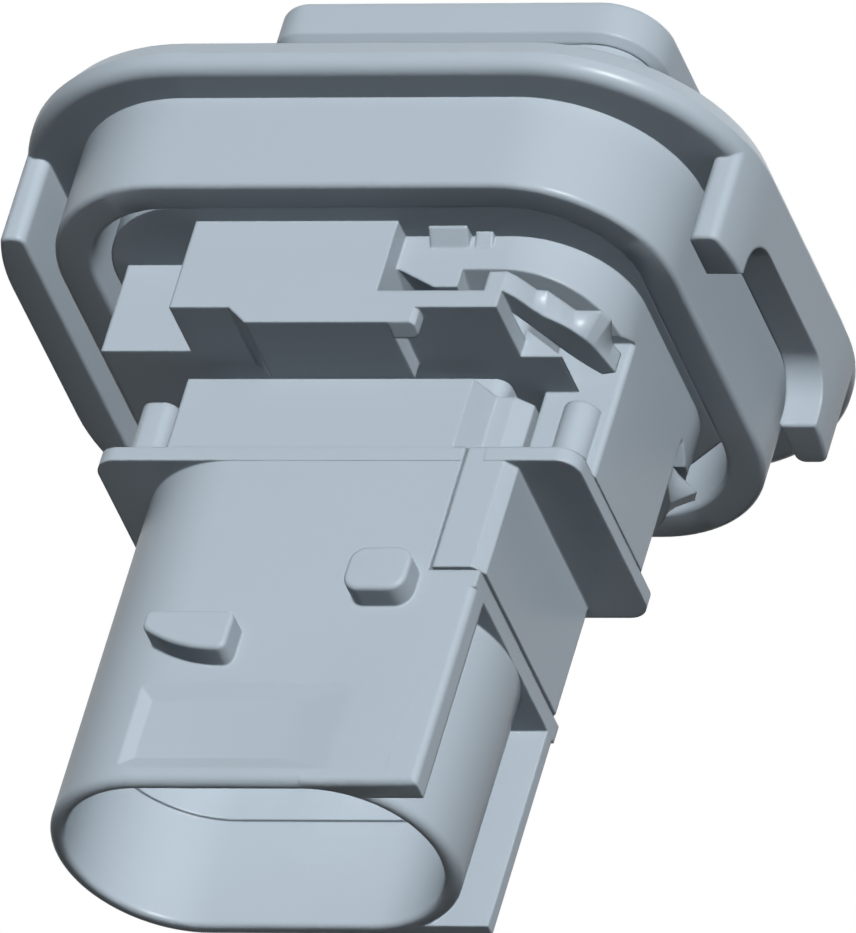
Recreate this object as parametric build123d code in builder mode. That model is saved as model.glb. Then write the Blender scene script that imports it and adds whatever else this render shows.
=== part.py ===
"""Sealed two-pole power connector for a panel: oval mating shroud, side lock, spring-arm frame,
mounting flange with a raised panel seal, contacts, wire seals and rear cover.

Frame: X across, -Y towards the mating mouth, +Z up, millimetres.
The origin is the centre of the connector in the plane of the flange's panel face.
"""
import os
from build123d import *

os.makedirs("parts", exist_ok=True)

past = 1.00                # cutters reach this far past what they cut

# Lengths along the mating axis, from the flange forwards
island_stand = 7.00        # raised island in front of the panel face
frame_depth = 8.60         # spring-arm frame in front of the island
neck_length = 5.80         # plain body between the frame and the middle flange
mid_flange_thick = 1.13
lock_length = 8.94         # side lock, in front of the middle flange
lock_gap = 0.26            # clearance round the side lock
end_wall = 1.40
floor_length = 0.17        # shroud's floor in front of the end wall
shroud_length = 16.34      # mouth to end wall

y_island = -island_stand
y_frame = y_island - frame_depth
y_mid_back = y_frame - neck_length
y_mid_front = y_mid_back - mid_flange_thick
y_lock = y_mid_front - lock_length
y_end_back = y_lock - lock_gap
y_end_front = y_end_back - end_wall
y_mouth = y_end_front - shroud_length

# Oval shroud and the plates that square its right side
shroud_width = 28.84
shroud_height = 16.92
shroud_wall = 1.16
mouth_round = 0.65
mouth_inner_round = 0.35
lead_in_depth = 8.70       # the wider entry ends in a small step
lead_in_width = 0.20
top_plate = 1.77
bottom_plate = 1.33
plate_round = 0.50
shroud_drop = 0.13         # oval's centre below the connector's centre
half_height = shroud_height / 2 - shroud_drop
oval_bottom = -shroud_height / 2 - shroud_drop
half_width = shroud_width / 2
oval_flat = half_width - shroud_height / 2

# Body behind the shroud
body_left = 11.00
body_side = 13.15          # right side of the neck, beyond its shelf
neck_slope = 1.08
neck_drop = 1.95
neck_shelf = 1.28
neck_ledge = 2.89
end_gap = 1.27             # neck's end to the side blocks of the spring-arm frame
tail_left = 10.20
tail_right = 11.20
tail_half = 6.60
body_right = 9.67          # where the top starts to slope
ledge_right = 12.00        # side of the body, under the side lock's tongues
ledge_drop = 1.93
window_left = 10.67        # left edge of the window for the side lock's tongues
tail_length = 2.00         # body tail inside the island's pocket
y_tail = y_island + tail_length
mid_flange_left = 16.17
mid_flange_top = 8.37
mid_flange_height = 16.97
mid_flange_corner = 1.60
hook_width = 2.60
hook_height = 2.20
hook_length = 3.80
hook_round = 0.90
hook_gap = 0.35

# Details on the flat top
recess_depth = 0.50
recess_front = 1.00        # from the mouth to the recess
recess_length = 7.40
recess_bevel = 1.30
recess_skin = 0.05        # the cutter for the recess starts this far above the top
recess_left = 7.87
recess_right = 8.33
recess_ramp = 4.33         # long slope at the right end
rib_height = 1.93
rib_round = 0.30
square_rib_x = 7.95
square_rib_setback = 0.12    # rib's centre behind the end wall's front
square_rib_y = y_end_front + square_rib_setback
square_rib_width = 4.50
square_rib_length = 3.56
square_rib_corner = 1.20
curved_rib_left = -7.70
curved_rib_right = -1.33
curved_rib_setback = 12.90   # from the mouth to the rib's back
curved_rib_back = y_mouth + curved_rib_setback
curved_rib_corner = 0.60
curved_rib_left_length = 1.47
curved_rib_right_length = 3.20
curved_rib_bow = 0.57      # how far the front of the rib bows towards the mouth
rib_root = 0.20            # ribs and nubs reach this far into their body

# Side lock
tongue_groove = 0.20
lock_face = 14.49
lock_chamfer = 0.80
lock_flange_right = 18.80
lock_flange_corner = 1.60
finger_reach = 0.60        # fingers into the carrier's sides
finger_size = 1.50
finger_offset = 2.20
finger_clearance = 0.10

# Spring-arm frame
frame_top = 14.40
block_left = 10.67
block_right = 4.00
step_left = -4.87          # middle block's forward step
step_right = 5.47
step_slope = 1.50
nub_width = 1.90
nub_height = 1.50
nub_bevel = 0.30
bar_end = 13.00
bar_depth = 1.40
sleeve_right = 18.87
sleeve_half = 12.73
sleeve_corner = 7.30
sleeve_wall = 2.00
ring_depth = 2.80          # ring at its top; its front face slopes forwards from there
ring_low_depth = 4.00      # ring at ring_low; from there its front slopes back to the side wall
ring_low = 7.00
key_length = 1.00          # both keys on the ring's top, along the mating axis
wide_key_left = 6.00
wide_key_width = 2.80
wide_key_height = 1.13
narrow_key_left = 9.23
narrow_key_width = 1.23
narrow_key_height = 0.50
wing_left = 17.20
wing_half = 9.73
side_wall_left = 13.53
side_wall_half = 5.27
side_wall_gap = 0.06       # side wall behind the side lock's flange
side_wall_back = 3.20      # side wall's rear end in front of the island
side_wall_round = 0.35
gusset_top = 9.07
gusset_width = 2.98
gusset_reach = 2.31
tongue_start = 4.20
tongue_slant = 2.90
tongue_end = 8.80
tongue_reach = 1.50
slot_width = 0.45
arm_root = 11.73
arm_depth = 1.60
arm_thick = 2.10
bead_radius = 1.33
bead_x = 16.70
bead_gap = 1.20
bead_length = 4.10

# Sprung arm and its catch, as shares of the corner from the bar's end to the ring's side (first
# value) and from the side wall to the frame's top (second value)
arm_outer = ((0, 1), (0.247, 0.797), (0.366, 0.688), (0.528, 0.605), (0.673, 0.485), (0.775, 0.343),
             (0.860, 0.157), (0.903, 0.036))
arm_inner = ((0.733, 0.014), (0.562, 0.146), (0.273, 0.441), (-0.034, 0.770))
catch_front = ((0.273, 0.671), (0.247, 0.792), (0.366, 0.693), (0.528, 0.605), (0.596, 0.551), (0.733, 0.420),
               (0.784, 0.343), (0.843, 0.200), (0.886, 0.069), (0.733, 0.113), (0.545, 0.365))
catch_back = ((0.273, 0.671), (0.247, 0.786), (0.375, 0.775), (0.494, 0.669), (0.608, 0.542), (0.918, 0.540),
              (0.998, 0.441), (0.886, 0.233), (0.835, 0.069), (0.733, 0.113), (0.545, 0.365))

# Panel seal, the island that it surrounds and the rails outside it
island_half_width = 18.98
island_shift = 0.57        # island's centre to the right of the connector's
island_corner = 7.50
island_cut_x = (10.20, 20.00)   # slanting cut across the island's lower right corner
island_cut_z = (-17.00, -8.96)
island_cut_floor = 2.40
seal_gap = 0.05            # island's right side, top and bottom to the seal
seal_wall = 2.73
seal_half_width = island_half_width + island_shift + seal_gap + seal_wall
seal_half_height = 19.07
seal_drop = 0.27           # seal's and island's centre below the connector's
seal_corner = 10.30
seal_stand = 7.47
seal_lip_round = 0.42
island_half_height = seal_half_height - seal_wall - seal_gap
rail_gap = 1.75
seal_margin = 2.83         # seal to the flange's top and bottom
rail_width = 2.67
rail_stand = 6.80
rail_short = 9.75          # rails' ends inside the flange's top and bottom
rail_lift = 0.20           # rails' centre above the connector's
rail_leg = 4.12            # rail beyond each end of its notch
rail_notch_depth = 3.93
rail_notch_round = 3.00
rail_end_round = 0.70
rail_round = 0.25

# Mounting flange
rail_x = seal_half_width + rail_gap
flange_half_width = rail_x + rail_width
flange_half_height = seal_half_height + seal_margin
flange_left_corner = 15.00
flange_right_corner = 13.80
flange_thick = 2.87
flange_round = 0.90
back_bevel_side = 0.87
back_bevel_depth = 1.50
pocket_clearance = 0.10
rail_half_length = flange_half_height - rail_short
rail_notch_half = rail_half_length - rail_leg

# Sleeve and cover behind the flange
sleeve_back = 12.10        # rear end of the sleeve
cover_left = 10.90
cover_right = 16.93
cover_half = 12.73
cover_left_corner = 2.60
cover_right_corner = 4.27
cover_wall = 0.65          # cover wall outside the sleeve
cover_length = 3.40
cover_back = 1.15
cover_round = 0.60

# Contacts and what holds them
contact_pitch = 9.40
tab_width = 6.30
tab_thick = 0.80
tab_recess = 7.30          # mouth to tab tip
barrel_radius = 2.00
barrel_bore = 1.50
barrel_length = 7.00
barrel_room = 1.50         # free space in front of a barrel
barrel_bottom = 1.00       # solid front end of a barrel
pin_size = 1.00
pin_pitch = 6.40
pin_recess = 9.50
carrier_nose_width = 20.40
carrier_nose_height = 9.60
carrier_nose_stand = 4.20
carrier_tail = 4.00        # carrier behind the housing seal
shank_width = 18.00
shank_height = 9.20
shank_round = 1.00
shank_clearance = 0.10
contact_clearance = 0.10
tab_bevel = 0.25
pin_bevel = 0.20
gasket_width = 1.40
gasket_thick = 1.00
housing_seal_thick = 1.20
wire_seal_radius = 3.00
wire_bore = 1.60
pin_seal_radius = 1.50
pin_wire_bore = 0.60
seal_depth = 5.00
seal_rib = 0.25            # seal's ribs above its body
passage_share = 0.70       # passage in front of a seal, as a share of the seal's radius
wire_hole = 2.40           # holes in the retainer
pin_wire_hole = 1.00
cover_bevel = 0.58
cover_lip = 1.00           # cover's rim inside the seal chamber's edge
retainer_thick = 2.00
seal_chamber_width = 18.40
seal_chamber_height = 11.40

y_floor = y_end_front - floor_length
y_carrier_front = y_floor - carrier_nose_stand
y_carrier_back = y_tail + housing_seal_thick + carrier_tail
y_retainer_front = sleeve_back - retainer_thick
y_seal_front = y_retainer_front - seal_depth
y_side = y_frame + end_gap
y_wall_back = y_island - side_wall_back
arm_front = y_side + bar_depth


def section(y):
    """Plane across the mating axis at depth y, facing the mouth."""
    return Plane((0, y, 0), x_dir=(1, 0, 0), z_dir=(0, -1, 0))


def top_plane(z):
    """Plane seen from above at height z, with local x and y along X and Y."""
    return Plane.XY.offset(z)


def box_between(x, y, z, mode=Mode.ADD):
    """Box from the low to the high corner values of each axis, in the open part."""
    with Locations(tuple((low + high) / 2 for low, high in (x, y, z))):
        Box(x[1] - x[0], y[1] - y[0], z[1] - z[0], mode=mode)


def squared_outline(y, left, right, half, left_corner, right_corner):
    """Face of a rounded rectangle at depth y whose left and right corners have different radii."""
    with BuildSketch(section(y)) as outline:
        with BuildLine():
            Line((left + left_corner, half), (right - right_corner, half))
            RadiusArc((right - right_corner, half), (right, half - right_corner), right_corner)
            Line((right, half - right_corner), (right, -half + right_corner))
            RadiusArc((right, -half + right_corner), (right - right_corner, -half), right_corner)
            Line((right - right_corner, -half), (left + left_corner, -half))
            RadiusArc((left + left_corner, -half), (left, -half + left_corner), left_corner)
            Line((left, -half + left_corner), (left, half - left_corner))
            RadiusArc((left, half - left_corner), (left + left_corner, half), left_corner)
        make_face()
    return outline.sketch


def cover_outline(y, inset):
    """Face of the rear cover's outline at depth y: tight corners on the left, wider ones on the right."""
    return squared_outline(y, -cover_left + inset, cover_right - inset, cover_half - inset,
                           cover_left_corner - inset, cover_right_corner - inset)


def flange_outline(y):
    """Face of the mounting flange's outline at depth y."""
    return squared_outline(y, -flange_half_width, flange_half_width, flange_half_height,
                           flange_left_corner, flange_right_corner)


def corner_points(shares):
    """Points across the mating axis from shares of the corner that the sprung arm spans."""
    width, height = sleeve_right - bar_end, frame_top - side_wall_half
    return [(bar_end + u * width, side_wall_half + v * height) for u, v in shares]


def tail_outline(y, clearance):
    """Face of the body tail's outline at depth y, grown by a clearance."""
    with BuildSketch(section(y)) as outline:
        with Locations(((tail_right - tail_left) / 2, 0)):
            RectangleRounded(tail_right + tail_left + 2 * clearance, 2 * (tail_half + clearance), shank_round)
    return outline.sketch


def finish(piece, name):
    """Name a finished piece and write it to its own file."""
    piece.part.label = name
    export_step(piece.part, f"parts/{name}.step")


# Plates beside the oval, rounded on their outer front and right edges
plates = []
for low, high in ((half_height - top_plate, half_height), (oval_bottom, oval_bottom + bottom_plate)):
    with BuildPart() as plate:
        box_between((oval_flat, half_width), (y_mouth, y_end_front), (low, high))
        side_edges = plate.edges().filter_by(Axis.Y).group_by(Axis.X)[-1]
        front_edges = plate.edges().filter_by(Axis.X).group_by(Axis.Y)[0]
        outer = [max(edges, key=lambda edge: abs(edge.center().Z)) for edges in (side_edges, front_edges)]
        fillet(outer, radius=plate_round)
    plates.append(plate.part)

# Ribs on the flat top, both sunk a little to join it
with BuildPart() as square_rib:
    with BuildSketch(top_plane(half_height - rib_root)):
        with Locations((square_rib_x, square_rib_y)):
            RectangleRounded(square_rib_width, square_rib_length, square_rib_corner)
    extrude(amount=rib_height + rib_root)
    fillet(square_rib.faces().sort_by(Axis.Z)[-1].edges(), radius=rib_round)
with BuildPart() as curved_rib:
    with BuildSketch(top_plane(half_height - rib_root)):
        with BuildLine():
            left_front = curved_rib_back - curved_rib_left_length
            right_front = curved_rib_back - curved_rib_right_length
            middle = (curved_rib_left + curved_rib_right) / 2, (left_front + right_front) / 2 - curved_rib_bow
            Polyline((curved_rib_left, left_front), (curved_rib_left, curved_rib_back),
                     (curved_rib_right, curved_rib_back), (curved_rib_right, right_front))
            ThreePointArc((curved_rib_right, right_front), middle, (curved_rib_left, left_front))
        make_face()
    extrude(amount=rib_height + rib_root)
    fillet(curved_rib.edges().filter_by(Axis.Z), radius=curved_rib_corner)
    fillet(curved_rib.faces().sort_by(Axis.Z)[-1].edges(), radius=rib_round)

# Shallow recess near the mouth, with sloping sides and a long ramp at its right end
with BuildPart() as recess:
    recess_centre_y = y_mouth + recess_front + recess_length / 2
    with BuildSketch(top_plane(half_height + recess_skin)):
        with Locations(((recess_right - recess_left) / 2, recess_centre_y)):
            Rectangle(recess_left + recess_right, recess_length)
    with BuildSketch(top_plane(half_height - recess_depth)):
        floor_left = -recess_left + recess_bevel
        floor_right = recess_right - recess_ramp
        with Locations(((floor_left + floor_right) / 2, recess_centre_y)):
            Rectangle(floor_right - floor_left, recess_length - 2 * recess_bevel)
    loft()

# Front housing: oval shroud, middle flange and body in one moulding
with BuildPart() as front_housing:
    with BuildSketch(section(y_mid_front)):
        with Locations((0, -shroud_drop)):
            SlotOverall(shroud_width, shroud_height)
    extrude(amount=y_mid_front - y_mouth)
    fillet(front_housing.faces().sort_by(Axis.Y)[0].edges(), radius=mouth_round)
    box_between((window_left, half_width + past), (y_end_back, y_mid_front + past),
                (oval_bottom - past, half_height + past), mode=Mode.SUBTRACT)

    # Plates and end wall that square the right side of the oval
    add(plates)
    box_between((0, half_width), (y_end_front, y_end_back), (oval_bottom, half_height))

    # Squared right side behind the end wall, with ledges for the side lock's tongues
    box_between((0, window_left), (y_end_front, y_mid_back), (oval_bottom, half_height))
    box_between((0, ledge_right), (y_end_front, y_mid_back), (-half_height + ledge_drop, half_height - ledge_drop))

    # Middle flange, left of the side lock
    with BuildSketch(section(y_mid_back)):
        with Locations(((window_left - mid_flange_left) / 2, mid_flange_top - mid_flange_height / 2)):
            Rectangle(window_left + mid_flange_left, mid_flange_height)
    extrude(amount=mid_flange_thick)
    fillet(front_housing.edges().filter_by(Axis.Y).sort_by(Axis.X)[:2], radius=mid_flange_corner)

    # Neck behind the middle flange, its tail through the spring-arm frame
    with BuildSketch(section(y_frame)):
        with BuildLine():
            Polyline((-body_left, 0), (-body_left, half_height), (body_right, half_height),
                     (body_right + neck_slope, half_height - neck_drop),
                     (body_right + neck_slope + neck_shelf, half_height - neck_drop),
                     (body_side, half_height - neck_ledge), (body_side, 0), close=True)
        make_face()
        mirror(about=Plane.XZ)
    extrude(amount=neck_length)
    extrude(tail_outline(y_tail, 0), amount=y_tail - y_frame)

    # Half-round hooks beside the body
    for side in (1, -1):
        with BuildSketch(section(y_mid_back + hook_length)):
            with Locations((-body_left - hook_gap - hook_width / 2, side * (half_height - hook_height / 2))):
                RectangleRounded(hook_width, hook_height, hook_round)
        extrude(amount=hook_length)

    # Ribs and recess on the flat top
    add(square_rib.part)
    add(curved_rib.part)
    add(recess.part, mode=Mode.SUBTRACT)

    # Mating space, its wider entry, and the passage for the contact carrier
    with BuildSketch(section(y_floor)):
        SlotOverall(shroud_width - 2 * shroud_wall - 2 * lead_in_width,
                    shroud_height - 2 * shroud_wall - 2 * lead_in_width)
    extrude(amount=y_floor - y_mouth + past, mode=Mode.SUBTRACT)
    with BuildSketch(section(y_mouth + lead_in_depth)):
        SlotOverall(shroud_width - 2 * shroud_wall, shroud_height - 2 * shroud_wall)
    extrude(amount=lead_in_depth + past, mode=Mode.SUBTRACT)
    rim = front_housing.faces().sort_by(Axis.Y)[0]
    fillet(rim.inner_wires()[0].edges(), radius=mouth_inner_round)
    with BuildSketch(section(y_tail)):
        RectangleRounded(shank_width + 2 * shank_clearance, shank_height + 2 * shank_clearance, shank_round)
    extrude(amount=y_tail - y_floor, mode=Mode.SUBTRACT)

    # Slots that guide the side lock's fingers
    y_finger = (y_lock + y_mid_front) / 2
    for side in (1, -1):
        slot_half = finger_size / 2 + finger_clearance
        box_between((shank_width / 2 - shank_round, ledge_right + past),
                    (y_finger - finger_size - finger_clearance, y_finger + finger_size + finger_clearance),
                    (side * finger_offset - slot_half, side * finger_offset + slot_half), mode=Mode.SUBTRACT)
finish(front_housing, "front_housing")

# Side lock: a C-shaped slide that carries the right part of the middle flange
with BuildPart() as side_lock:
    tongue_left = window_left + tongue_groove
    tongue_drop = ledge_drop - tongue_groove / 2
    web_left = ledge_right + tongue_groove
    with BuildSketch(section(y_mid_back)):
        with BuildLine():
            Polyline((web_left, 0), (web_left, half_height - tongue_drop),
                     (tongue_left, half_height - tongue_drop), (tongue_left, half_height),
                     (lock_face - lock_chamfer, half_height), (lock_face, half_height - lock_chamfer),
                     (lock_face, 0), close=True)
        make_face()
        mirror(about=Plane.XZ)
    extrude(amount=y_mid_back - y_lock)
    with BuildSketch(section(y_mid_back)):
        with Locations(((web_left + lock_flange_right) / 2, mid_flange_top - mid_flange_height / 2)):
            Rectangle(lock_flange_right - web_left, mid_flange_height)
    extrude(amount=mid_flange_thick)
    right_edges = side_lock.edges().filter_by(Axis.Y).sort_by(Axis.X)[-2:]
    fillet(right_edges, radius=lock_flange_corner)
    for side in (1, -1):
        box_between((shank_width / 2 - finger_reach, web_left + finger_clearance),
                    (y_finger - finger_size, y_finger + finger_size),
                    (side * finger_offset - finger_size / 2, side * finger_offset + finger_size / 2))
finish(side_lock, "side_lock")

# Catch on the sprung arm: a barb that widens from the arm's front to its back
with BuildPart() as catch:
    with BuildSketch(section(arm_front + arm_depth)):
        with BuildLine():
            Polyline(*corner_points(catch_back), close=True)
        make_face()
    with BuildSketch(section(arm_front)):
        with BuildLine():
            Polyline(*corner_points(catch_front), close=True)
        make_face()
    loft(ruled=True)

# Small wedge nub beside the middle block's forward step
with BuildPart() as nub:
    with BuildSketch(Plane((step_right, 0, 0), x_dir=(0, 1, 0), z_dir=(1, 0, 0))):
        with BuildLine():
            Polyline((y_side, frame_top), (y_frame, frame_top), (y_frame - rib_root, frame_top - nub_height),
                     (y_side, frame_top - nub_height), close=True)
        make_face()
    extrude(amount=nub_width)
    chamfer(nub.faces().sort_by(Axis.X)[-1].edges().filter_by(Axis.Y), length=nub_bevel)

# Upper half of the ring that passes through the panel, with a sloping front face and keys on its top
with BuildPart() as ring:
    y_ring = y_island - ring_depth
    y_ring_low = y_island - ring_low_depth
    with BuildSketch(section(y_island)):
        with BuildLine():
            Line((block_right, sleeve_half - sleeve_wall), (block_right, sleeve_half))
            Line((block_right, sleeve_half), (sleeve_right - sleeve_corner, sleeve_half))
            RadiusArc((sleeve_right - sleeve_corner, sleeve_half), (sleeve_right, sleeve_half - sleeve_corner),
                      sleeve_corner)
            Line((sleeve_right, sleeve_half - sleeve_corner), (sleeve_right, 0))
            Line((sleeve_right, 0), (sleeve_right - sleeve_wall, 0))
            Line((sleeve_right - sleeve_wall, 0), (sleeve_right - sleeve_wall, sleeve_half - sleeve_corner))
            RadiusArc((sleeve_right - sleeve_wall, sleeve_half - sleeve_corner),
                      (sleeve_right - sleeve_corner, sleeve_half - sleeve_wall), sleeve_wall - sleeve_corner)
            Line((sleeve_right - sleeve_corner, sleeve_half - sleeve_wall),
                 (block_right, sleeve_half - sleeve_wall))
        make_face()
    extrude(amount=ring_low_depth)
    with BuildSketch(Plane((block_right, 0, 0), x_dir=(0, 1, 0), z_dir=(1, 0, 0))):
        with BuildLine():
            Polyline((y_ring, sleeve_half), (y_ring_low, ring_low), (y_wall_back, side_wall_half),
                     (y_wall_back, 0), (y_side, 0), (y_side, sleeve_half), close=True)
        make_face()
    extrude(amount=sleeve_right - block_right, mode=Mode.SUBTRACT)
    for key_left, key_width, key_height in (
        (wide_key_left, wide_key_width, wide_key_height), (narrow_key_left, narrow_key_width, narrow_key_height),
    ):
        with BuildSketch(Plane((key_left, 0, 0), x_dir=(0, 1, 0), z_dir=(1, 0, 0))):
            with BuildLine():
                Polyline((y_island, sleeve_half - rib_root), (y_island, sleeve_half + key_height),
                         (y_island - key_length, sleeve_half), (y_island - key_length, sleeve_half - rib_root),
                         close=True)
            make_face()
        extrude(amount=key_width)

# Upper half of the side wall, its outer long edge rounded
with BuildPart() as side_wall:
    box_between((side_wall_left, sleeve_right), (y_mid_back + side_wall_gap, y_wall_back),
                (0, side_wall_half))
    top_edges = side_wall.faces().sort_by(Axis.Z)[-1].edges().filter_by(Axis.Y)
    fillet(top_edges.sort_by(Axis.X)[-1], radius=side_wall_round)

# Spring-arm frame: blocks, ring, side wall and sprung arms in one moulding
with BuildPart() as latch_frame:
    # Middle block, its forward step and the plain block over the body
    box_between((-block_left, block_right), (y_side, y_island), (0, frame_top))
    with BuildSketch(top_plane(half_height)):
        with BuildLine():
            Polyline((step_left - step_slope, y_side), (step_left, y_frame), (step_right, y_frame),
                     (step_right, y_side), close=True)
        make_face()
    extrude(amount=frame_top - half_height)
    box_between((-wing_left, -block_left), (y_side, y_island), (0, wing_half))

    # Front plate with its bar, and the gusset at the bar's end
    box_between((block_right, bar_end), (y_side, arm_front), (0, frame_top))
    with BuildSketch(top_plane(0)):
        with BuildLine():
            Polyline((bar_end - rib_root, y_side), (bar_end + gusset_width, y_side),
                     (bar_end - rib_root, y_side + gusset_reach), close=True)
        make_face()
    extrude(amount=gusset_top)

    # Ring with its tongue
    add(ring.part)
    with BuildSketch(top_plane(sleeve_half - sleeve_wall)):
        with BuildLine():
            Polyline((tongue_start, y_ring), (tongue_start + tongue_slant, y_ring - tongue_reach),
                     (tongue_end, y_ring - tongue_reach), (tongue_end, y_ring), close=True)
        make_face()
        with BuildLine():
            Polyline((block_right, y_ring), (block_right, arm_front), (tongue_start + tongue_slant, arm_front),
                     (tongue_start + tongue_slant - slot_width, y_ring - tongue_reach + slot_width),
                     (tongue_start - slot_width, y_ring), close=True)
        make_face()
    extrude(amount=sleeve_wall)

    # Side wall that reaches to the middle flange, with a bead on each long edge
    add(side_wall.part)
    with BuildSketch(section(y_mid_back + bead_gap + bead_length)):
        with Locations((bead_x, side_wall_half)):
            Circle(bead_radius)
    extrude(amount=bead_length)

    # Rib that ties the ring and the blocks to the inside of the side wall
    box_between((side_wall_left, sleeve_right - sleeve_wall), (y_wall_back, y_island),
                (0, side_wall_half))

    # Sprung arm over the corner, with its catch
    with BuildSketch(section(arm_front + arm_depth)):
        with BuildLine():
            outer, inner = corner_points(arm_outer), corner_points(arm_inner)
            Polyline((arm_root, frame_top - arm_thick), (arm_root, frame_top), outer[0])
            Spline(*outer)
            Line(outer[-1], inner[0])
            Spline(*inner)
            Line(inner[-1], (arm_root, frame_top - arm_thick))
        make_face()
    extrude(amount=arm_depth)
    add(catch.part)
    add(nub.part)
    mirror(about=Plane.XY)

    # Opening for the body's tail
    extrude(tail_outline(y_island, pocket_clearance), amount=frame_depth, mode=Mode.SUBTRACT)
finish(latch_frame, "latch_frame")

# Rails on the flange, following its outline; the right one has a notch with rounded feet
rails = []
for side in (-1, 1):
    with BuildPart() as rail:
        extrude(flange_outline(flange_thick / 2), amount=flange_thick / 2 + rail_stand)
        box_between(sorted((side * flange_half_width, side * rail_x)), (-rail_stand, flange_thick / 2),
                    (rail_lift - rail_half_length, rail_lift + rail_half_length), mode=Mode.INTERSECT)
        end_edges = rail.edges().filter_by(Axis.Y).sort_by(Axis.Z)
        fillet(end_edges[:2] + end_edges[-2:], radius=rail_end_round)
        if side > 0:
            with BuildSketch(Plane((rail_x, 0, 0), x_dir=(0, 1, 0), z_dir=(1, 0, 0))):
                with Locations((-rail_stand, rail_lift)):
                    Rectangle(2 * rail_notch_depth, 2 * rail_notch_half)
            extrude(amount=rail_width, mode=Mode.SUBTRACT)
            y_notch = -rail_stand + rail_notch_depth
            feet = rail.edges().filter_by(Axis.X)
            feet = feet.filter_by_position(Axis.Y, y_notch - rail_round, y_notch + rail_round)
            fillet(feet, radius=rail_notch_round)
        front = rail.faces().filter_by(Axis.Y).group_by(Axis.Y)[0]
        fillet(front.edges(), radius=rail_round)
    rails.append(rail.part)

# Mounting flange with its island, rails and the sleeve behind it
with BuildPart() as mounting_flange:
    extrude(flange_outline(flange_thick), amount=flange_thick)
    fillet(mounting_flange.faces().sort_by(Axis.Y)[0].edges(), radius=flange_round)
    chamfer(mounting_flange.faces().sort_by(Axis.Y)[-1].edges(), length=back_bevel_side, length2=back_bevel_depth,
            reference=mounting_flange.faces().sort_by(Axis.Y)[-1])
    with BuildSketch(section(0)):
        with Locations((island_shift, -seal_drop)):
            RectangleRounded(2 * island_half_width, 2 * island_half_height, island_corner)
    extrude(amount=island_stand)
    with BuildSketch(section(-island_cut_floor)):
        with BuildLine():
            Polyline((island_cut_x[0], island_cut_z[0]), (island_cut_x[1], island_cut_z[0]),
                     (island_cut_x[1], island_cut_z[1]), close=True)
        make_face()
    extrude(amount=island_stand, mode=Mode.SUBTRACT)
    add(rails)
    # Sleeve behind the flange
    extrude(cover_outline(sleeve_back, cover_wall), amount=sleeve_back - flange_thick)
    # Pocket for the body's tail, passage for the carrier, chamber for the wire seals
    extrude(tail_outline(y_tail + housing_seal_thick, pocket_clearance), amount=tail_length + housing_seal_thick,
            mode=Mode.SUBTRACT)
    with BuildSketch(section(y_carrier_back)):
        RectangleRounded(shank_width + 2 * shank_clearance, shank_height + 2 * shank_clearance, shank_round)
    extrude(amount=y_carrier_back - y_island, mode=Mode.SUBTRACT)
    for x, z, radius in (
        (-contact_pitch / 2, 0, wire_seal_radius), (contact_pitch / 2, 0, wire_seal_radius),
        (0, pin_pitch / 2, pin_seal_radius), (0, -pin_pitch / 2, pin_seal_radius),
    ):
        with BuildSketch(section(y_retainer_front)):
            with Locations((x, z)):
                Circle(radius)
        extrude(amount=seal_depth, mode=Mode.SUBTRACT)
        with BuildSketch(section(y_seal_front)):
            with Locations((x, z)):
                Circle(radius * passage_share)
        extrude(amount=y_seal_front - y_carrier_back, mode=Mode.SUBTRACT)
    with BuildSketch(section(sleeve_back)):
        RectangleRounded(seal_chamber_width, seal_chamber_height, shank_round)
    extrude(amount=retainer_thick, mode=Mode.SUBTRACT)
finish(mounting_flange, "mounting_flange")

# Panel seal: raised elastomer collar round the island
with BuildPart() as panel_seal:
    with BuildSketch(section(0)):
        with Locations((0, -seal_drop)):
            RectangleRounded(2 * seal_half_width, 2 * seal_half_height, seal_corner)
            RectangleRounded(2 * (seal_half_width - seal_wall), 2 * (seal_half_height - seal_wall),
                             seal_corner - seal_wall, mode=Mode.SUBTRACT)
    extrude(amount=seal_stand)
    fillet(panel_seal.faces().sort_by(Axis.Y)[0].edges(), radius=seal_lip_round)
finish(panel_seal, "panel_seal")

# Housing seal: flat frame between the body's tail and the pocket floor
with BuildPart() as housing_seal:
    extrude(tail_outline(y_tail + housing_seal_thick, 0), amount=housing_seal_thick)
    with BuildSketch(section(y_tail + housing_seal_thick)):
        RectangleRounded(shank_width + 2 * shank_clearance, shank_height + 2 * shank_clearance, shank_round)
    extrude(amount=housing_seal_thick, mode=Mode.SUBTRACT)
finish(housing_seal, "housing_seal")

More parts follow.
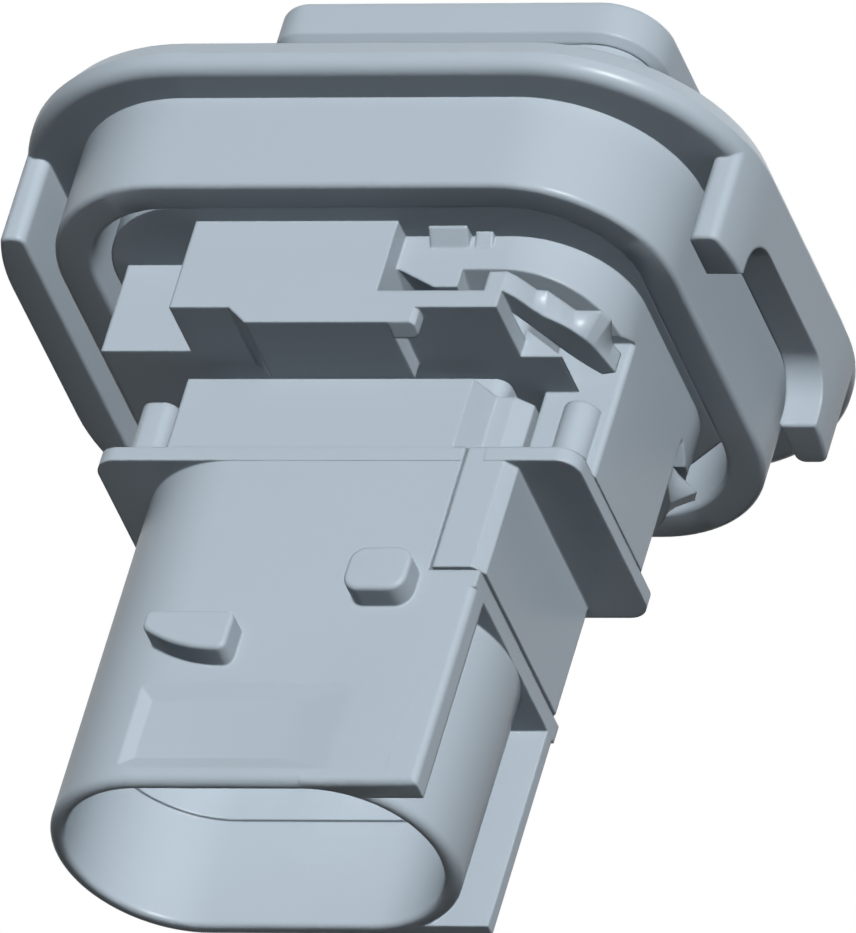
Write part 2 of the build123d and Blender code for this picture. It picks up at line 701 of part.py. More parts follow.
# Contact carrier: nose in the shroud, shank through the body
with BuildPart() as contact_carrier:
    with BuildSketch(section(y_carrier_back)):
        RectangleRounded(shank_width, shank_height, shank_round)
    extrude(amount=y_carrier_back - y_floor)
    with BuildSketch(section(y_floor)):
        SlotOverall(carrier_nose_width, carrier_nose_height)
    extrude(amount=carrier_nose_stand)
    for side in (1, -1):
        notch_half = finger_size / 2 + 2 * finger_clearance
        box_between((shank_width / 2 - finger_reach - finger_clearance, shank_width / 2 + past),
                    (y_finger - finger_size - 2 * finger_clearance, y_finger + finger_size + 2 * finger_clearance),
                    (side * finger_offset - notch_half, side * finger_offset + notch_half), mode=Mode.SUBTRACT)
        with BuildSketch(section(y_carrier_back)):
            with Locations((side * contact_pitch / 2, 0)):
                Circle(barrel_radius + contact_clearance)
        extrude(amount=barrel_length + barrel_room, mode=Mode.SUBTRACT)
        with BuildSketch(section(y_carrier_back)):
            with Locations((side * contact_pitch / 2, 0)):
                Rectangle(tab_width + contact_clearance, tab_thick + contact_clearance)
        extrude(amount=y_carrier_back - y_carrier_front, mode=Mode.SUBTRACT)
        with BuildSketch(section(y_carrier_back)):
            with Locations((0, side * pin_pitch / 2)):
                Rectangle(pin_size + contact_clearance, pin_size + contact_clearance)
        extrude(amount=y_carrier_back - y_carrier_front, mode=Mode.SUBTRACT)
finish(contact_carrier, "contact_carrier")

# Power contacts: flat tab with a crimp barrel behind it
for name, side in (("power_tab_left", -1), ("power_tab_right", 1)):
    with BuildPart() as power_tab:
        centre_x = side * contact_pitch / 2
        y_tip = y_mouth + tab_recess
        y_barrel = y_carrier_back - barrel_length
        with BuildSketch(section(y_barrel)):
            with Locations((centre_x, 0)):
                Rectangle(tab_width, tab_thick)
        extrude(amount=y_barrel - y_tip)
        tip_edges = power_tab.faces().sort_by(Axis.Y)[0].edges()
        chamfer(tip_edges, length=tab_bevel)
        with BuildSketch(section(y_carrier_back)):
            with Locations((centre_x, 0)):
                Circle(barrel_radius)
        extrude(amount=barrel_length)
        with BuildSketch(section(y_carrier_back)):
            with Locations((centre_x, 0)):
                Circle(barrel_bore)
        extrude(amount=barrel_length - barrel_bottom, mode=Mode.SUBTRACT)
    finish(power_tab, name)

# Interlock pins
for name, side in (("interlock_pin_upper", 1), ("interlock_pin_lower", -1)):
    with BuildPart() as interlock_pin:
        with BuildSketch(section(y_carrier_back)):
            with Locations((0, side * pin_pitch / 2)):
                Rectangle(pin_size, pin_size)
        extrude(amount=y_carrier_back - y_mouth - pin_recess)
        chamfer(interlock_pin.faces().sort_by(Axis.Y)[0].edges(), length=pin_bevel)
    finish(interlock_pin, name)

# Interface gasket round the carrier's nose on the shroud floor
with BuildPart() as interface_gasket:
    with BuildSketch(section(y_floor)):
        SlotOverall(carrier_nose_width + 2 * gasket_width, carrier_nose_height + 2 * gasket_width)
        SlotOverall(carrier_nose_width + contact_clearance, carrier_nose_height + contact_clearance,
                    mode=Mode.SUBTRACT)
    extrude(amount=gasket_thick)
finish(interface_gasket, "interface_gasket")

# Wire seals in their bores
seal_rows = (
    ("wire_seal_left", -contact_pitch / 2, 0, wire_seal_radius, wire_bore),
    ("wire_seal_right", contact_pitch / 2, 0, wire_seal_radius, wire_bore),
    ("pin_seal_upper", 0, pin_pitch / 2, pin_seal_radius, pin_wire_bore),
    ("pin_seal_lower", 0, -pin_pitch / 2, pin_seal_radius, pin_wire_bore),
)
for name, x, z, radius, bore in seal_rows:
    with BuildPart() as wire_seal:
        rib = seal_depth / 5
        with BuildSketch(Plane((x, 0, z), x_dir=(1, 0, 0), z_dir=(0, 0, 1))):
            with BuildLine():
                low = radius - seal_rib
                Polyline((bore, y_seal_front), (low, y_seal_front), (low, y_seal_front + rib),
                         (radius, y_seal_front + rib), (radius, y_seal_front + 2 * rib),
                         (low, y_seal_front + 2 * rib), (low, y_seal_front + 3 * rib),
                         (radius, y_seal_front + 3 * rib), (radius, y_seal_front + 4 * rib),
                         (low, y_seal_front + 4 * rib), (low, y_retainer_front), (bore, y_retainer_front),
                         close=True)
            make_face()
        revolve(axis=Axis((x, 0, z), (0, 1, 0)))
    finish(wire_seal, name)

# Seal retainer: plate with the wire holes
with BuildPart() as seal_retainer:
    with BuildSketch(section(sleeve_back)):
        RectangleRounded(seal_chamber_width - 2 * shank_clearance, seal_chamber_height - 2 * shank_clearance,
                         shank_round)
        with Locations((-contact_pitch / 2, 0), (contact_pitch / 2, 0)):
            Circle(wire_hole, mode=Mode.SUBTRACT)
        with Locations((0, pin_pitch / 2), (0, -pin_pitch / 2)):
            Circle(pin_wire_hole, mode=Mode.SUBTRACT)
    extrude(amount=retainer_thick)
finish(seal_retainer, "seal_retainer")

# Rear cover: cap over the end of the sleeve
with BuildPart() as rear_cover:
    cover_end = sleeve_back + cover_back
    extrude(cover_outline(cover_end, 0), amount=cover_length)
    fillet(rear_cover.faces().sort_by(Axis.Y)[-1].edges(), radius=cover_round)
    chamfer(rear_cover.faces().sort_by(Axis.Y)[0].edges(), length=cover_bevel)
    extrude(cover_outline(sleeve_back, cover_wall), amount=cover_length, mode=Mode.SUBTRACT)
    with BuildSketch(section(cover_end)):
        RectangleRounded(seal_chamber_width - 2 * cover_lip, seal_chamber_height - 2 * cover_lip, shank_round)
    extrude(amount=cover_back, mode=Mode.SUBTRACT)
finish(rear_cover, "rear_cover")
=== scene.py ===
"""Looks of a sealed panel-mounted power connector: finishes, wire seals, floor, light, camera."""

import math

import bmesh
import bpy
from mathutils import Euler, Matrix, Vector


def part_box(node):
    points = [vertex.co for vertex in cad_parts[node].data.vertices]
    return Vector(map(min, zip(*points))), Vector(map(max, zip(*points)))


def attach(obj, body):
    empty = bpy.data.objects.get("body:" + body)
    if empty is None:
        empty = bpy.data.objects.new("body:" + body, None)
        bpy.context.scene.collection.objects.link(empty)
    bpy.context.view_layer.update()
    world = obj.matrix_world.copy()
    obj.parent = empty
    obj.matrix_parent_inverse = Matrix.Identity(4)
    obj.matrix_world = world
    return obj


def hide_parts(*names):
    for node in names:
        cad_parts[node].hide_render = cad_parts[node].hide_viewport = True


bl_info = {
    "name": "Panel connector looks",
    "version": (1, 0, 0),
    "blender": (4, 5, 0),
    "location": "3D View > Sidebar > Connector",
    "description": "Finishes, swept wire seals and studio for a sealed panel-mounted connector",
    "category": "Object",
}

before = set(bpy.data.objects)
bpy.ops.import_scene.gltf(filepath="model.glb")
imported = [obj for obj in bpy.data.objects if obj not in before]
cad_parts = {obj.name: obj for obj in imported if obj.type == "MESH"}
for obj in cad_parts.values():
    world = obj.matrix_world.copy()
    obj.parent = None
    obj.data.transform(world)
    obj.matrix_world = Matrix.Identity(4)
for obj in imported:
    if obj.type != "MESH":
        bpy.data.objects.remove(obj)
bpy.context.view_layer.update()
MM = 0.001

HOUSING_BODY = "housing"

# Shading of the CAD nodes
JOIN_MM = 0.002             # points nearer than this are one point
CREASE_DEGREES = 12         # an edge that turns more than this shows as a crease
SOFT_CREASE_DEGREES = 24
SOFT_CREASES = ("panel_seal", "housing_seal")

# Finishes
BOUNCE_CUT = 0.8            # painted shade: share by which the colour is taken toward black for light that goes from piece to piece
FLOW_MM = 9.0               # width of the faint flow marks
GRAIN_SHINE = 0.03          # how far the grain moves the roughness, up and down
PLASTIC_IOR = 1.5
DRAW_LINE_MM = 0.12
DRAW_STRETCH = 0.06         # across : along, for the drawing lines
DRAW_SHINE = 0.07
BEVEL_SAMPLES = 6

FINISH_OF = {
    "contact_carrier": "moulded_pa",
    "panel_seal": "moulded_silicone",
    "seal_retainer": "moulded_pa",
    "housing_seal": "inner_silicone",
    "interface_gasket": "inner_silicone",
    "power_tab_left": "tinned_copper_alloy",
    "power_tab_right": "tinned_copper_alloy",
    "interlock_pin_upper": "tinned_copper_alloy",
    "interlock_pin_lower": "tinned_copper_alloy",
}
DEFAULT_FINISH = "moulded_pbt"

# Swept seals
SEAL_WALL_SHARE = 0.45      # wall of a wire seal, as a share of its radius
SEAL_EDGE_SHARE = 0.15      # round of its edges, as a share of the wall
CORNER_STEPS = 24
EDGE_STEPS = 6
SECTION_POINTS = 96

# Directions that the lights come from
KEY_FROM = Vector((0.447, -0.065, 0.892))
BACK_FROM = Vector((-0.10, 0.85, -0.52))
SUN_DEGREES = 12

# Camera axes of the photograph's view, and the point it looks at
VIEW_RIGHT = Vector((0.9196, 0.24314, -0.30858))
VIEW_UP = Vector((0.0, 0.78547, 0.61892))
VIEW_BACK = Vector((0.39286, -0.56914, 0.72230))
AIM_RIGHT = -0.5 * MM
AIM_UP = -12.94 * MM
AIM_BACK = 10.0 * MM
SENSOR_SIZE = 24            # in millimetres, as Blender counts it
FLOOR_REACH = 3.0           # in metres

WHITE = (1, 1, 1, 1)
BLACK = (0, 0, 0, 1)


def linear(hex_colour):
    """Linear colour with alpha of a six-digit sRGB hex value."""
    channels = [int(hex_colour[i:i + 2], 16) / 255 for i in (0, 2, 4)]
    return [c / 12.92 if c <= 0.04045 else ((c + 0.055) / 1.055) ** 2.4
            for c in channels] + [1.0]


def add_node(tree, kind, settings=None, inputs=None):
    """Add one node: settings are its properties, inputs are values or sockets for its sockets."""
    node = tree.nodes.new(kind)
    for name, value in (settings or {}).items():
        setattr(node, name, value)
    for name, value in (inputs or {}).items():
        if isinstance(value, bpy.types.NodeSocket):
            tree.links.new(value, node.inputs[name])
        else:
            node.inputs[name].default_value = value
    return node


# Materials

def empty_material(name):
    """A material with an empty node tree, and that tree."""
    material = bpy.data.materials.new(name)
    material.use_nodes = True
    material.node_tree.nodes.clear()
    return material, material.node_tree


def moulded_material(name, colour, roughness, specular, grain_mm, grain_height_mm, edge_mm, mottle):
    """Moulded surface: fine spark-eroded grain, faint flow marks and softly broken edges, with
    painted shade: the colour turns darker toward black for light bounced between parts.
    """
    material, tree = empty_material(name)
    place = add_node(tree, "ShaderNodeTexCoord").outputs["Object"]
    grain = add_node(tree, "ShaderNodeTexNoise", inputs={
        "Vector": place, "Scale": 1 / (grain_mm * MM), "Detail": 2.0, "Roughness": 0.6})
    flow = add_node(tree, "ShaderNodeTexNoise", inputs={
        "Vector": place, "Scale": 1 / (FLOW_MM * MM), "Detail": 3.0, "Roughness": 0.5})
    pale = [min(1.0, c * (1 + mottle)) for c in colour[:3]] + [1.0]
    deep = [c * (1 - mottle) for c in colour[:3]] + [1.0]
    tint = add_node(tree, "ShaderNodeMix", {"data_type": "RGBA"}, {
        0: flow.outputs["Fac"], 6: deep, 7: pale})
    # Painted shade: for light bounced from one part to the next the colour is mixed toward black by
    # BOUNCE_CUT, so the parts shade each other more
    rays = add_node(tree, "ShaderNodeLightPath")
    painted_shade_share = add_node(tree, "ShaderNodeMapRange", inputs={
        "Value": rays.outputs["Is Diffuse Ray"], "To Min": 0.0, "To Max": BOUNCE_CUT})
    painted_shade_colour = add_node(tree, "ShaderNodeMix", {"data_type": "RGBA"}, {
        0: painted_shade_share.outputs["Result"], 6: tint.outputs[2], 7: BLACK})
    shine = add_node(tree, "ShaderNodeMapRange", inputs={
        "Value": grain.outputs["Fac"], "To Min": roughness - GRAIN_SHINE,
        "To Max": roughness + GRAIN_SHINE})
    edge = add_node(tree, "ShaderNodeBevel", {"samples": BEVEL_SAMPLES}, {"Radius": edge_mm * MM})
    bump = add_node(tree, "ShaderNodeBump", inputs={
        "Height": grain.outputs["Fac"], "Distance": grain_height_mm * MM, "Strength": 1.0,
        "Normal": edge.outputs["Normal"]})
    shader = add_node(tree, "ShaderNodeBsdfPrincipled", inputs={
        "Base Color": painted_shade_colour.outputs[2], "Roughness": shine.outputs["Result"],
        "Normal": bump.outputs["Normal"], "Specular IOR Level": specular, "IOR": PLASTIC_IOR})
    add_node(tree, "ShaderNodeOutputMaterial", inputs={"Surface": shader.outputs["BSDF"]})
    return material


def tinned_material(name, colour, roughness):
    """Tin plate over a copper alloy: a bright metal with fine drawing lines along the contact."""
    material, tree = empty_material(name)
    place = add_node(tree, "ShaderNodeTexCoord").outputs["Object"]
    stretch = add_node(tree, "ShaderNodeMapping", inputs={
        "Vector": place, "Scale": (1.0, DRAW_STRETCH, 1.0)})
    lines = add_node(tree, "ShaderNodeTexNoise", inputs={
        "Vector": stretch.outputs["Vector"], "Scale": 1 / (DRAW_LINE_MM * MM), "Detail": 2.0})
    shine = add_node(tree, "ShaderNodeMapRange", inputs={
        "Value": lines.outputs["Fac"], "To Min": roughness - DRAW_SHINE,
        "To Max": roughness + DRAW_SHINE})
    shader = add_node(tree, "ShaderNodeBsdfPrincipled", inputs={
        "Base Color": colour, "Metallic": 1.0, "Roughness": shine.outputs["Result"]})
    add_node(tree, "ShaderNodeOutputMaterial", inputs={"Surface": shader.outputs["BSDF"]})
    return material


def finish(name):
    """The material of that name, made on first use from the scene's finish settings."""
    settings = bpy.context.scene.connector_finish
    if name in bpy.data.materials:
        return bpy.data.materials[name]
    if name == "tinned_copper_alloy":
        return tinned_material(name, list(settings.tin_colour) + [1.0], settings.tin_roughness)
    plastic = list(settings.plastic_colour) + [1.0]
    inner_seal = list(settings.inner_seal_colour) + [1.0]
    matt = settings.plastic_roughness
    shine = settings.plastic_shine
    # Colour, roughness, shine, then grain, grain height and edge round in mm, and mottling
    makers = {
        # Glass-filled PBT from a fine spark-eroded mould: even blue-grey with a broad soft shine
        "moulded_pbt": (plastic, matt, shine, 0.25, 0.002, 0.28, 0.012),
        # Unfilled PA for the carrier and retainer: a little smoother and glossier
        "moulded_pa": (plastic, matt - 0.06, shine, 0.3, 0.0015, 0.12, 0.01),
        # Liquid silicone panel seal: the same blue-grey and shine, with softer edges
        "moulded_silicone": (plastic, matt, shine, 0.4, 0.002, 0.2, 0.008),
        # Silicone of the inner seals: darker and more matt
        "inner_silicone": (inner_seal, matt + 0.1, shine, 0.4, 0.003, 0.1, 0.015),
    }
    return moulded_material(name, *makers[name])


# Geometry Nodes

def read_input(tree, group_in, name, kind, default):
    """Add a named input to a geometry tree, and return the group-input socket that carries it."""
    socket = tree.interface.new_socket(name, in_out="INPUT", socket_type=kind)
    if default is not None:
        socket.default_value = default
    return group_in.outputs[name]


def smooth_shell_tree():
    """Tree that joins a CAD node's loose triangles and shades it smooth up to its sharp edges."""
    tree = bpy.data.node_groups.new("Smooth shell", "GeometryNodeTree")
    group_in = tree.nodes.new("NodeGroupInput")
    shell = read_input(tree, group_in, "Geometry", "NodeSocketGeometry", None)
    sharp_angle = read_input(tree, group_in, "Sharp Angle", "NodeSocketFloat",
                             math.radians(CREASE_DEGREES))
    tree.interface.new_socket("Geometry", in_out="OUTPUT", socket_type="NodeSocketGeometry")
    joined = add_node(tree, "GeometryNodeMergeByDistance", inputs={
        "Geometry": shell, "Distance": JOIN_MM * MM})
    faces = add_node(tree, "GeometryNodeSetShadeSmooth", {"domain": "FACE"}, {
        "Geometry": joined.outputs["Geometry"], "Shade Smooth": True})
    angle = add_node(tree, "GeometryNodeInputMeshEdgeAngle")
    soft = add_node(tree, "FunctionNodeCompare", {"operation": "LESS_EQUAL"}, {
        "A": angle.outputs["Unsigned Angle"], "B": sharp_angle})
    edges = add_node(tree, "GeometryNodeSetShadeSmooth", {"domain": "EDGE"}, {
        "Geometry": faces.outputs["Geometry"], "Shade Smooth": soft.outputs["Result"]})
    add_node(tree, "NodeGroupOutput", inputs={"Geometry": edges.outputs["Geometry"]})
    return tree


def seal_ring_tree():
    """Tree that sweeps a ribbed section along a rounded rectangle in X and Z, front towards -Y."""
    tree = bpy.data.node_groups.new("Seal ring", "GeometryNodeTree")
    group_in = tree.nodes.new("NodeGroupInput")
    sizes = {name: read_input(tree, group_in, name, "NodeSocketFloat", default)
             for name, default in (
                 ("Path Width", 0.04), ("Path Height", 0.03), ("Path Corner", 0.008),
                 ("Wall", 0.002), ("Depth", 0.005), ("Edge Round", 0.0004),
                 ("Lips", 0.0), ("Lip Height", 0.0))}
    centre = read_input(tree, group_in, "Centre", "NodeSocketVector", None)
    material = read_input(tree, group_in, "Material", "NodeSocketMaterial", None)
    tree.interface.new_socket("Geometry", in_out="OUTPUT", socket_type="NodeSocketGeometry")

    rectangle = add_node(tree, "GeometryNodeCurvePrimitiveQuadrilateral", inputs={
        "Width": sizes["Path Width"], "Height": sizes["Path Height"]})
    path = add_node(tree, "GeometryNodeFilletCurve", {"mode": "POLY"}, {
        "Curve": rectangle.outputs["Curve"], "Radius": sizes["Path Corner"],
        "Count": CORNER_STEPS, "Limit Radius": True})
    block = add_node(tree, "GeometryNodeCurvePrimitiveQuadrilateral", inputs={
        "Width": sizes["Wall"], "Height": sizes["Depth"]})
    block_round = add_node(tree, "GeometryNodeFilletCurve", {"mode": "POLY"}, {
        "Curve": block.outputs["Curve"], "Radius": sizes["Edge Round"],
        "Count": EDGE_STEPS, "Limit Radius": True})
    section = add_node(tree, "GeometryNodeResampleCurve", inputs={
        "Curve": block_round.outputs["Curve"], "Count": SECTION_POINTS})

    # Lips: a wave along the section's outer side
    place = add_node(tree, "GeometryNodeInputPosition")
    parts = add_node(tree, "ShaderNodeSeparateXYZ", inputs={"Vector": place.outputs["Position"]})
    along = add_node(tree, "ShaderNodeMath", {"operation": "DIVIDE"}, {
        0: parts.outputs["Y"], 1: sizes["Depth"]})
    turns = add_node(tree, "ShaderNodeMath", {"operation": "MULTIPLY"}, {
        0: along.outputs[0], 1: sizes["Lips"]})
    phase = add_node(tree, "ShaderNodeMath", {"operation": "MULTIPLY"}, {
        0: turns.outputs[0], 1: 2 * math.pi})
    wave = add_node(tree, "ShaderNodeMath", {"operation": "COSINE"}, {0: phase.outputs[0]})
    lift = add_node(tree, "ShaderNodeMath", {"operation": "MULTIPLY"}, {
        0: wave.outputs[0], 1: sizes["Lip Height"]})
    outer = add_node(tree, "FunctionNodeCompare", {"operation": "GREATER_THAN"}, {
        "A": parts.outputs["X"], "B": 0.0})
    shift = add_node(tree, "ShaderNodeCombineXYZ", inputs={"X": lift.outputs[0]})
    ribbed = add_node(tree, "GeometryNodeSetPosition", inputs={
        "Geometry": section.outputs["Curve"], "Selection": outer.outputs["Result"],
        "Offset": shift.outputs["Vector"]})

    # The section stands on the back plane, and its front ends up towards -Y
    half = add_node(tree, "ShaderNodeMath", {"operation": "MULTIPLY"}, {
        0: sizes["Depth"], 1: 0.5})
    stand = add_node(tree, "ShaderNodeCombineXYZ", inputs={"Y": half.outputs[0]})
    raised = add_node(tree, "GeometryNodeTransform", inputs={
        "Geometry": ribbed.outputs["Geometry"], "Translation": stand.outputs["Vector"]})
    swept = add_node(tree, "GeometryNodeCurveToMesh", inputs={
        "Curve": path.outputs["Curve"], "Profile Curve": raised.outputs["Geometry"]})
    turned = add_node(tree, "GeometryNodeTransform", inputs={
        "Geometry": swept.outputs["Mesh"], "Translation": centre,
        "Rotation": Euler((-math.pi / 2, 0, 0))})
    smooth = add_node(tree, "GeometryNodeSetShadeSmooth", {"domain": "FACE"}, {
        "Geometry": turned.outputs["Geometry"], "Shade Smooth": True})
    real = add_node(tree, "GeometryNodeRealizeInstances", inputs={
        "Geometry": smooth.outputs["Geometry"]})
    painted = add_node(tree, "GeometryNodeSetMaterial", inputs={
        "Geometry": real.outputs["Geometry"], "Material": material})
    add_node(tree, "NodeGroupOutput", inputs={"Geometry": painted.outputs["Geometry"]})
    return tree


def tree_modifier(obj, tree, values):
    """Put a geometry tree on an object and set its named inputs."""
    modifier = obj.modifiers.new(tree.name, "NODES")
    modifier.node_group = tree
    for item in tree.interface.items_tree:
        if item.in_out == "INPUT" and item.name in values:
            modifier[item.identifier] = values[item.name]


def tree_mesh(name, tree, values):
    """Plain mesh that a geometry tree makes with those input values."""
    holder = bpy.data.objects.new(name + "_holder", bpy.data.meshes.new(name + "_holder"))
    bpy.context.scene.collection.objects.link(holder)
    tree_modifier(holder, tree, values)
    evaluated = holder.evaluated_get(bpy.context.evaluated_depsgraph_get())
    mesh = bpy.data.meshes.new_from_object(evaluated)
    mesh.name = name
    bpy.data.objects.remove(holder)
    return mesh


def joined_piece(name, meshes, body):
    """One object from several meshes, with the first one's materials, riding on a body."""
    shell = bmesh.new()
    for mesh in meshes:
        shell.from_mesh(mesh)
    final = bpy.data.meshes.new(name)
    shell.to_mesh(final)
    shell.free()
    for material in meshes[0].materials:
        final.materials.append(material)
    piece = bpy.data.objects.new(name, final)
    bpy.context.scene.collection.objects.link(piece)
    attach(piece, body)
    return piece


# Settings

class FinishSettings(bpy.types.PropertyGroup):
    """Colours and shine of the connector's materials."""
    plastic_colour: bpy.props.FloatVectorProperty(
        name="Plastic colour", description="Colour of the housing, frame, flange and panel seal",
        subtype="COLOR", size=3, min=0, max=1, default=linear("B0BDC8")[:3])
    plastic_roughness: bpy.props.FloatProperty(
        name="Plastic roughness", description="Roughness of the moulded surfaces",
        subtype="FACTOR", min=0.1, max=0.9, default=0.34)
    plastic_shine: bpy.props.FloatProperty(
        name="Plastic shine", description="Specular level of the moulded surfaces",
        subtype="FACTOR", min=0, max=1, default=0.08)
    inner_seal_colour: bpy.props.FloatVectorProperty(
        name="Inner seal colour", description="Colour of the silicone seals inside the connector",
        subtype="COLOR", size=3, min=0, max=1, default=linear("75808A")[:3])
    tin_colour: bpy.props.FloatVectorProperty(
        name="Tin colour", description="Colour of the plating on the contacts",
        subtype="COLOR", size=3, min=0, max=1, default=linear("CFCFCB")[:3])
    tin_roughness: bpy.props.FloatProperty(
        name="Tin roughness", description="Roughness of the plating",
        subtype="FACTOR", min=0.1, max=0.9, default=0.3)


class SealSettings(bpy.types.PropertyGroup):
    """Lips of the swept wire seals."""
    lip_height: bpy.props.FloatProperty(
        name="Lip height", description="Half the height of a wire seal's lips",
        unit="LENGTH", default=0.12 * MM)
    lips: bpy.props.IntProperty(
        name="Lips", description="Lips round each wire seal", min=1, max=5, default=3)


class StageSettings(bpy.types.PropertyGroup):
    """Light, floor and camera."""
    key_strength: bpy.props.FloatProperty(
        name="Key strength", description="Strength of the main light",
        min=0, max=10, default=3.4)
    back_strength: bpy.props.FloatProperty(
        name="Back strength", description="Strength of the light on the rear and the underside",
        min=0, max=10, default=1.2)
    sheen_strength: bpy.props.FloatProperty(
        name="Sheen strength", description="Strength of the light that is only seen as a shine",
        min=0, max=50, default=14.0)
    fill_level: bpy.props.FloatProperty(
        name="Fill level", description="Level of the plain light from all round",
        min=0, max=1, default=0.02)
    floor_drop: bpy.props.FloatProperty(
        name="Floor drop", description="Height of the connector's centre above the floor",
        unit="LENGTH", default=60 * MM)
    camera_distance: bpy.props.FloatProperty(
        name="Camera distance", description="Distance from the camera to the connector",
        unit="LENGTH", default=2.5)
    view_height: bpy.props.FloatProperty(
        name="View height", description="Height of what the camera takes in at the connector",
        unit="LENGTH", default=62.2 * MM)


# Operators

class CONNECTOR_OT_finishes(bpy.types.Operator):
    """Give every CAD node its moulded or plated finish and smooth shading"""
    bl_idname = "connector.finishes"
    bl_label = "Finish the moulded parts"

    def execute(self, context):
        shell = smooth_shell_tree()
        for name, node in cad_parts.items():
            node.data.materials.clear()
            node.data.materials.append(finish(FINISH_OF.get(name, DEFAULT_FINISH)))
            degrees = SOFT_CREASE_DEGREES if name in SOFT_CREASES else CREASE_DEGREES
            tree_modifier(node, shell, {"Sharp Angle": math.radians(degrees)})
        return {"FINISHED"}


class CONNECTOR_OT_wire_seals(bpy.types.Operator):
    """Sweep the lipped wire seals in their bores"""
    bl_idname = "connector.wire_seals"
    bl_label = "Make the wire seals"

    def execute(self, context):
        sizes = context.scene.connector_seals
        tree = seal_ring_tree()
        names = [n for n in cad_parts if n.startswith(("wire_seal", "pin_seal"))]
        rings = []
        for name in names:
            low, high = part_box(name)
            radius = (high.x - low.x) / 2
            wall = radius * SEAL_WALL_SHARE
            ring = radius - wall / 2 - sizes.lip_height
            rings.append(tree_mesh(name, tree, {
                "Path Width": 2 * ring, "Path Height": 2 * ring, "Path Corner": ring,
                "Wall": wall, "Depth": high.y - low.y, "Edge Round": wall * SEAL_EDGE_SHARE,
                "Lips": float(sizes.lips), "Lip Height": sizes.lip_height,
                "Centre": Vector((low.x + high.x, 2 * high.y, low.z + high.z)) / 2,
                "Material": finish("inner_silicone")}))
        piece = joined_piece("wire_seal_set", rings, HOUSING_BODY)
        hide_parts(*names)
        return {"FINISHED"}


class CONNECTOR_OT_stage(bpy.types.Operator):
    """Set the floor, the plain studio light and the camera"""
    bl_idname = "connector.stage"
    bl_label = "Set the stage"

    def execute(self, context):
        scene = context.scene
        sizes = scene.connector_stage
        scene.view_settings.view_transform = "Standard"
        make_world(sizes.fill_level)
        make_floor(sizes.floor_drop, sizes.fill_level)
        sun("Key light", KEY_FROM, sizes.key_strength)
        sun("Back light", BACK_FROM, sizes.back_strength)
        sun("Sheen light", KEY_FROM, sizes.sheen_strength, diffuse=False)
        make_camera(sizes.camera_distance, sizes.view_height)
        return {"FINISHED"}


# Stage

def seen_rays(tree):
    """Socket that is 1 for camera, glossy and transmission rays, and 0 for diffuse light."""
    path = add_node(tree, "ShaderNodeLightPath")
    first = add_node(tree, "ShaderNodeMath", {"operation": "MAXIMUM"}, {
        0: path.outputs["Is Camera Ray"], 1: path.outputs["Is Glossy Ray"]})
    both = add_node(tree, "ShaderNodeMath", {"operation": "MAXIMUM"}, {
        0: first.outputs[0], 1: path.outputs["Is Transmission Ray"]})
    return both.outputs[0]


def make_world(level):
    """White for the eye and in reflections, and an even grey level as light."""
    world = bpy.data.worlds.new("Studio")
    bpy.context.scene.world = world
    world.use_nodes = True
    tree = world.node_tree
    tree.nodes.clear()
    strength = add_node(tree, "ShaderNodeMapRange", inputs={
        "Value": seen_rays(tree), "To Min": level, "To Max": 1.0})
    background = add_node(tree, "ShaderNodeBackground", inputs={
        "Color": WHITE, "Strength": strength.outputs["Result"]})
    add_node(tree, "ShaderNodeOutputWorld", inputs={"Surface": background.outputs["Background"]})


def make_floor(drop, level):
    """Plain floor well below the connector: white for the eye, and as dim as the fill in light."""
    mesh = bpy.data.meshes.new("floor")
    corners = ((-1, -1), (1, -1), (1, 1), (-1, 1))
    mesh.from_pydata([(x * FLOOR_REACH, y * FLOOR_REACH, -drop) for x, y in corners],
                     [], [(0, 1, 2, 3)])
    floor = bpy.data.objects.new("floor", mesh)
    bpy.context.scene.collection.objects.link(floor)
    material, tree = empty_material("studio_floor")
    matt = add_node(tree, "ShaderNodeBsdfDiffuse", inputs={"Color": (level, level, level, 1)})
    white = add_node(tree, "ShaderNodeEmission", inputs={"Color": WHITE, "Strength": 1.0})
    surface = add_node(tree, "ShaderNodeMixShader", inputs={
        "Fac": seen_rays(tree), 1: matt.outputs["BSDF"], 2: white.outputs["Emission"]})
    add_node(tree, "ShaderNodeOutputMaterial", inputs={"Surface": surface.outputs["Shader"]})
    mesh.materials.append(material)


def sun(name, direction, strength, diffuse=True):
    """Parallel light from a direction, without shadows; without diffuse it is only a shine."""
    lamp = bpy.data.lights.new(name, "SUN")
    lamp.energy = strength
    lamp.angle = math.radians(SUN_DEGREES)
    lamp.use_shadow = False
    light = bpy.data.objects.new(name, lamp)
    light.rotation_mode = "QUATERNION"
    light.rotation_quaternion = direction.to_track_quat("Z", "Y")
    light.visible_diffuse = diffuse
    bpy.context.scene.collection.objects.link(light)


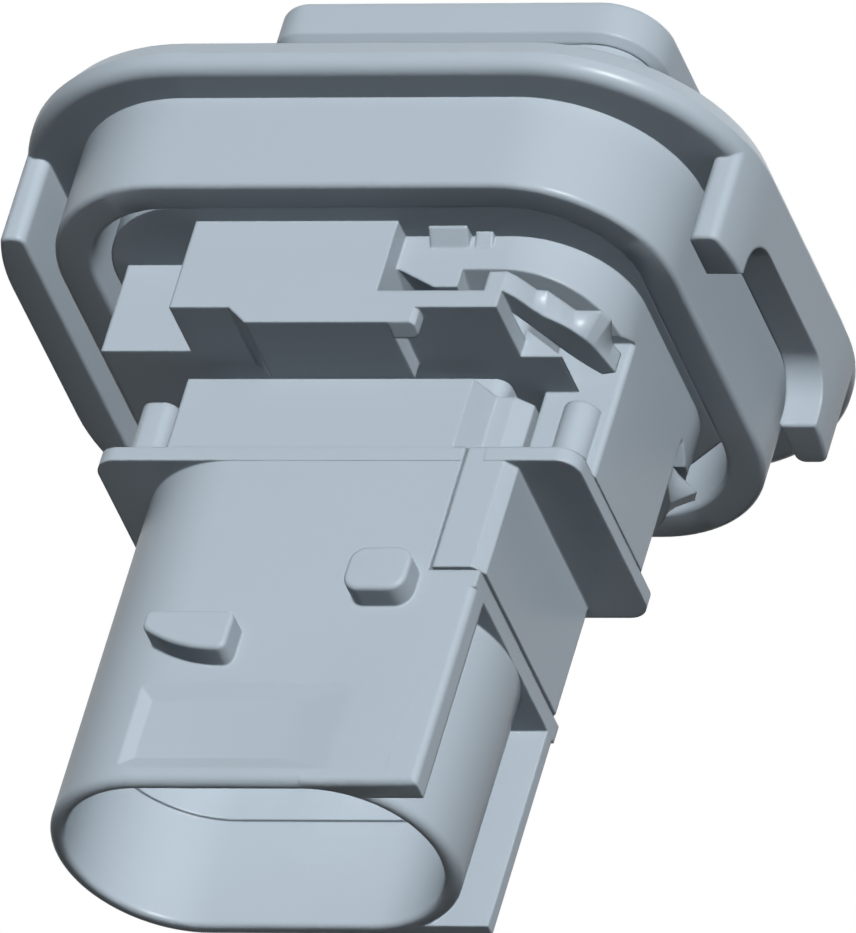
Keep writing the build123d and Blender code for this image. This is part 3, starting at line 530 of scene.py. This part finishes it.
def make_camera(distance, view_height):
    """Long-lens camera at the photograph's angle."""
    data = bpy.data.cameras.new("Camera")
    data.sensor_fit = "VERTICAL"
    data.sensor_width = data.sensor_height = SENSOR_SIZE
    data.lens = data.sensor_height * distance / view_height
    data.clip_start, data.clip_end = distance / 100, distance * 4
    camera = bpy.data.objects.new("Camera", data)
    aim = VIEW_RIGHT * AIM_RIGHT + VIEW_UP * AIM_UP + VIEW_BACK * AIM_BACK
    turn = Matrix((VIEW_RIGHT, VIEW_UP, VIEW_BACK)).transposed()
    camera.rotation_mode = "QUATERNION"
    camera.rotation_quaternion = turn.to_quaternion()
    camera.location = aim + VIEW_BACK * distance
    bpy.context.scene.collection.objects.link(camera)
    bpy.context.scene.camera = camera


# Panel and registration

class CONNECTOR_PT_panel(bpy.types.Panel):
    """Settings and steps of the connector's looks"""
    bl_label = "Panel connector"
    bl_idname = "CONNECTOR_PT_panel"
    bl_space_type = "VIEW_3D"
    bl_region_type = "UI"
    bl_category = "Connector"

    def draw(self, context):
        layout = self.layout
        scene = context.scene
        for title, group in (("Finishes", scene.connector_finish),
                             ("Seals", scene.connector_seals),
                             ("Stage", scene.connector_stage)):
            box = layout.box()
            box.label(text=title)
            for name in group.bl_rna.properties.keys():
                if name not in ("rna_type", "name"):
                    box.prop(group, name)
        for operator in OPERATORS:
            layout.operator(operator.bl_idname)


GROUPS = {
    "connector_finish": FinishSettings,
    "connector_seals": SealSettings,
    "connector_stage": StageSettings,
}
OPERATORS = (CONNECTOR_OT_finishes, CONNECTOR_OT_wire_seals, CONNECTOR_OT_stage)
CLASSES = (*GROUPS.values(), *OPERATORS, CONNECTOR_PT_panel)


def register():
    for cls in CLASSES:
        bpy.utils.register_class(cls)
    for name, group in GROUPS.items():
        setattr(bpy.types.Scene, name, bpy.props.PointerProperty(type=group))


def unregister():
    for name in GROUPS:
        delattr(bpy.types.Scene, name)
    for cls in reversed(CLASSES):
        bpy.utils.unregister_class(cls)


def main():
    register()
    bpy.ops.connector.finishes()
    bpy.ops.connector.wire_seals()
    bpy.ops.connector.stage()
    bpy.context.view_layer.update()


if __name__ == "__main__":
    main()
